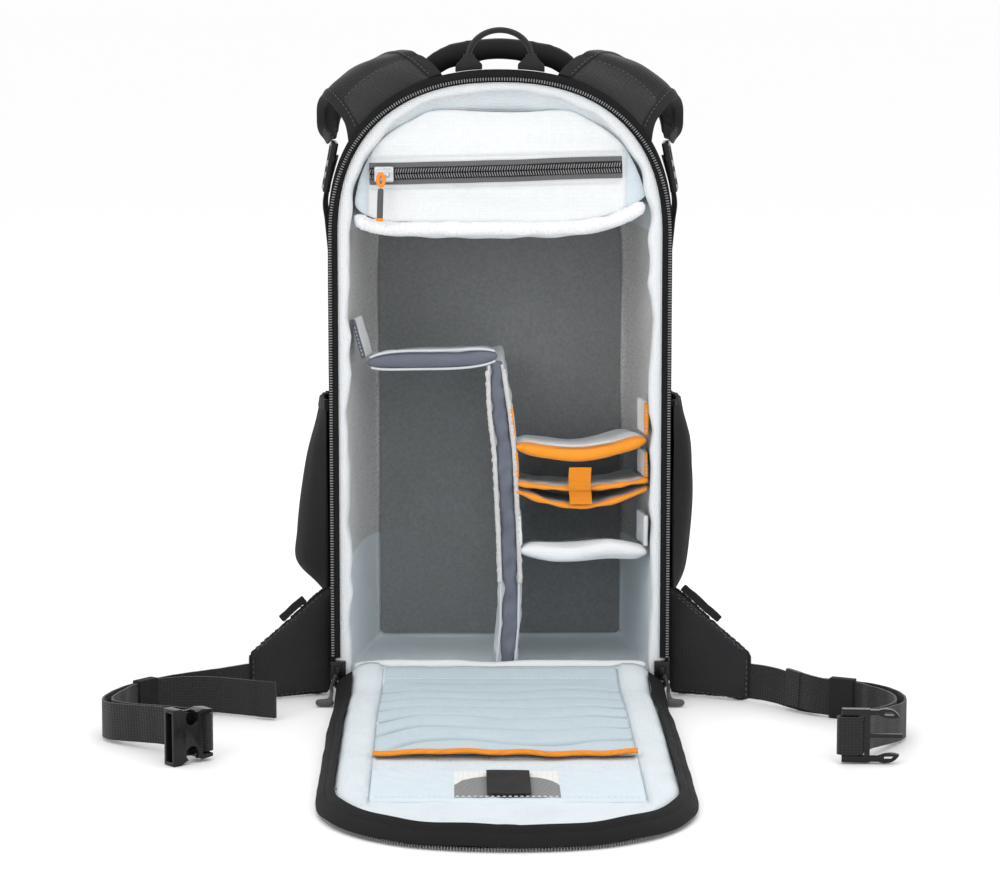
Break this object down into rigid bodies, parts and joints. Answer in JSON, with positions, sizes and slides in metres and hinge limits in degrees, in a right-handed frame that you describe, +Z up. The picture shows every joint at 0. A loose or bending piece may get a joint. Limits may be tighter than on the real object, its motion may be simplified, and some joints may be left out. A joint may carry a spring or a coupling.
{
  "type": "camera backpack",
  "caption": "Open camera backpack with padded dividers, a zipped top pouch, a hinged back panel laid forward, shoulder straps and a hip belt with a buckle.",
  "frame": {"origin": "middle of the flat base that the body stands on, level with the floor", "axes": "+Z up, -Y out of the open side that the back panel is laid towards, +X to the right seen from there"},
  "size_m": [0.5508, 0.5775, 0.481],
  "materials": {
    "black_nylon": "woven",
    "black_mesh": "spacer mesh",
    "black_webbing": "ribbed webbing",
    "black_plastic": "satin",
    "zip_black": "zip tape and coil",
    "pale_lining": "ripstop",
    "blue_lining": "smooth woven",
    "grey_board": "brushed loop",
    "slate_fabric": "woven",
    "orange_fabric": "woven",
    "zip_grey": "zip tape and coil",
    "pale_metal": "satin",
    "grey_rubber": "matte",
    "grey_mesh": "open mesh"
  },
  "bodies": {
    "root": {"back_board": "grey_board", "band_tab_left": "orange_fabric", "band_tab_right": "orange_fabric", "belt_keeper_left": "black_webbing", "belt_keeper_right": "black_webbing", "belt_left": "black_webbing", "belt_right": "black_webbing", "body_zip": "zip_black", "buckle_plug": "black_plastic", "buckle_socket": "black_plastic", "card_band": "blue_lining", "card_tag": "black_webbing", "card_window": "grey_mesh", "carry_handle": "black_nylon", "flap_lining": "blue_lining", "flap_pad": "black_nylon", "flap_zip": "zip_black", "grab_loop": "black_webbing", "ladder_lock_left": "black_plastic", "ladder_lock_right": "black_plastic", "lining": "pale_lining", "low_divider": "pale_lining", "low_tab_left": "pale_lining", "low_tab_right": "pale_lining", "lower_strap_left": "black_webbing", "lower_strap_right": "black_webbing", "main_pull_left": "grey_rubber", "main_pull_right": "grey_rubber", "main_slider_left": "black_plastic", "main_slider_right": "black_plastic", "organiser_band": "orange_fabric", "organiser_leaf_inner": "orange_fabric", "organiser_leaf_outer": "orange_fabric", "organiser_side_left": "orange_fabric", "organiser_side_right": "orange_fabric", "organiser_strap": "orange_fabric", "pouch_floor": "pale_lining", "pouch_front": "pale_lining", "pouch_link": "orange_fabric", "pouch_pull": "grey_rubber", "pouch_slider": "pale_metal", "pouch_zip": "zip_grey", "shelf_divider": "slate_fabric", "shelf_tab": "slate_fabric", "shell": "black_nylon", "shoulder_strap_left": "black_mesh", "shoulder_strap_right": "black_mesh", "side_pocket_left": "black_nylon", "side_pocket_right": "black_mesh", "sill": "pale_lining", "sleeve_pocket": "blue_lining", "sleeve_trim": "orange_fabric", "tall_divider": "slate_fabric", "wing_left": "black_nylon", "wing_right": "black_nylon", "wing_tab_left": "black_webbing", "wing_tab_right": "black_webbing"}
  },
  "joints": []
}
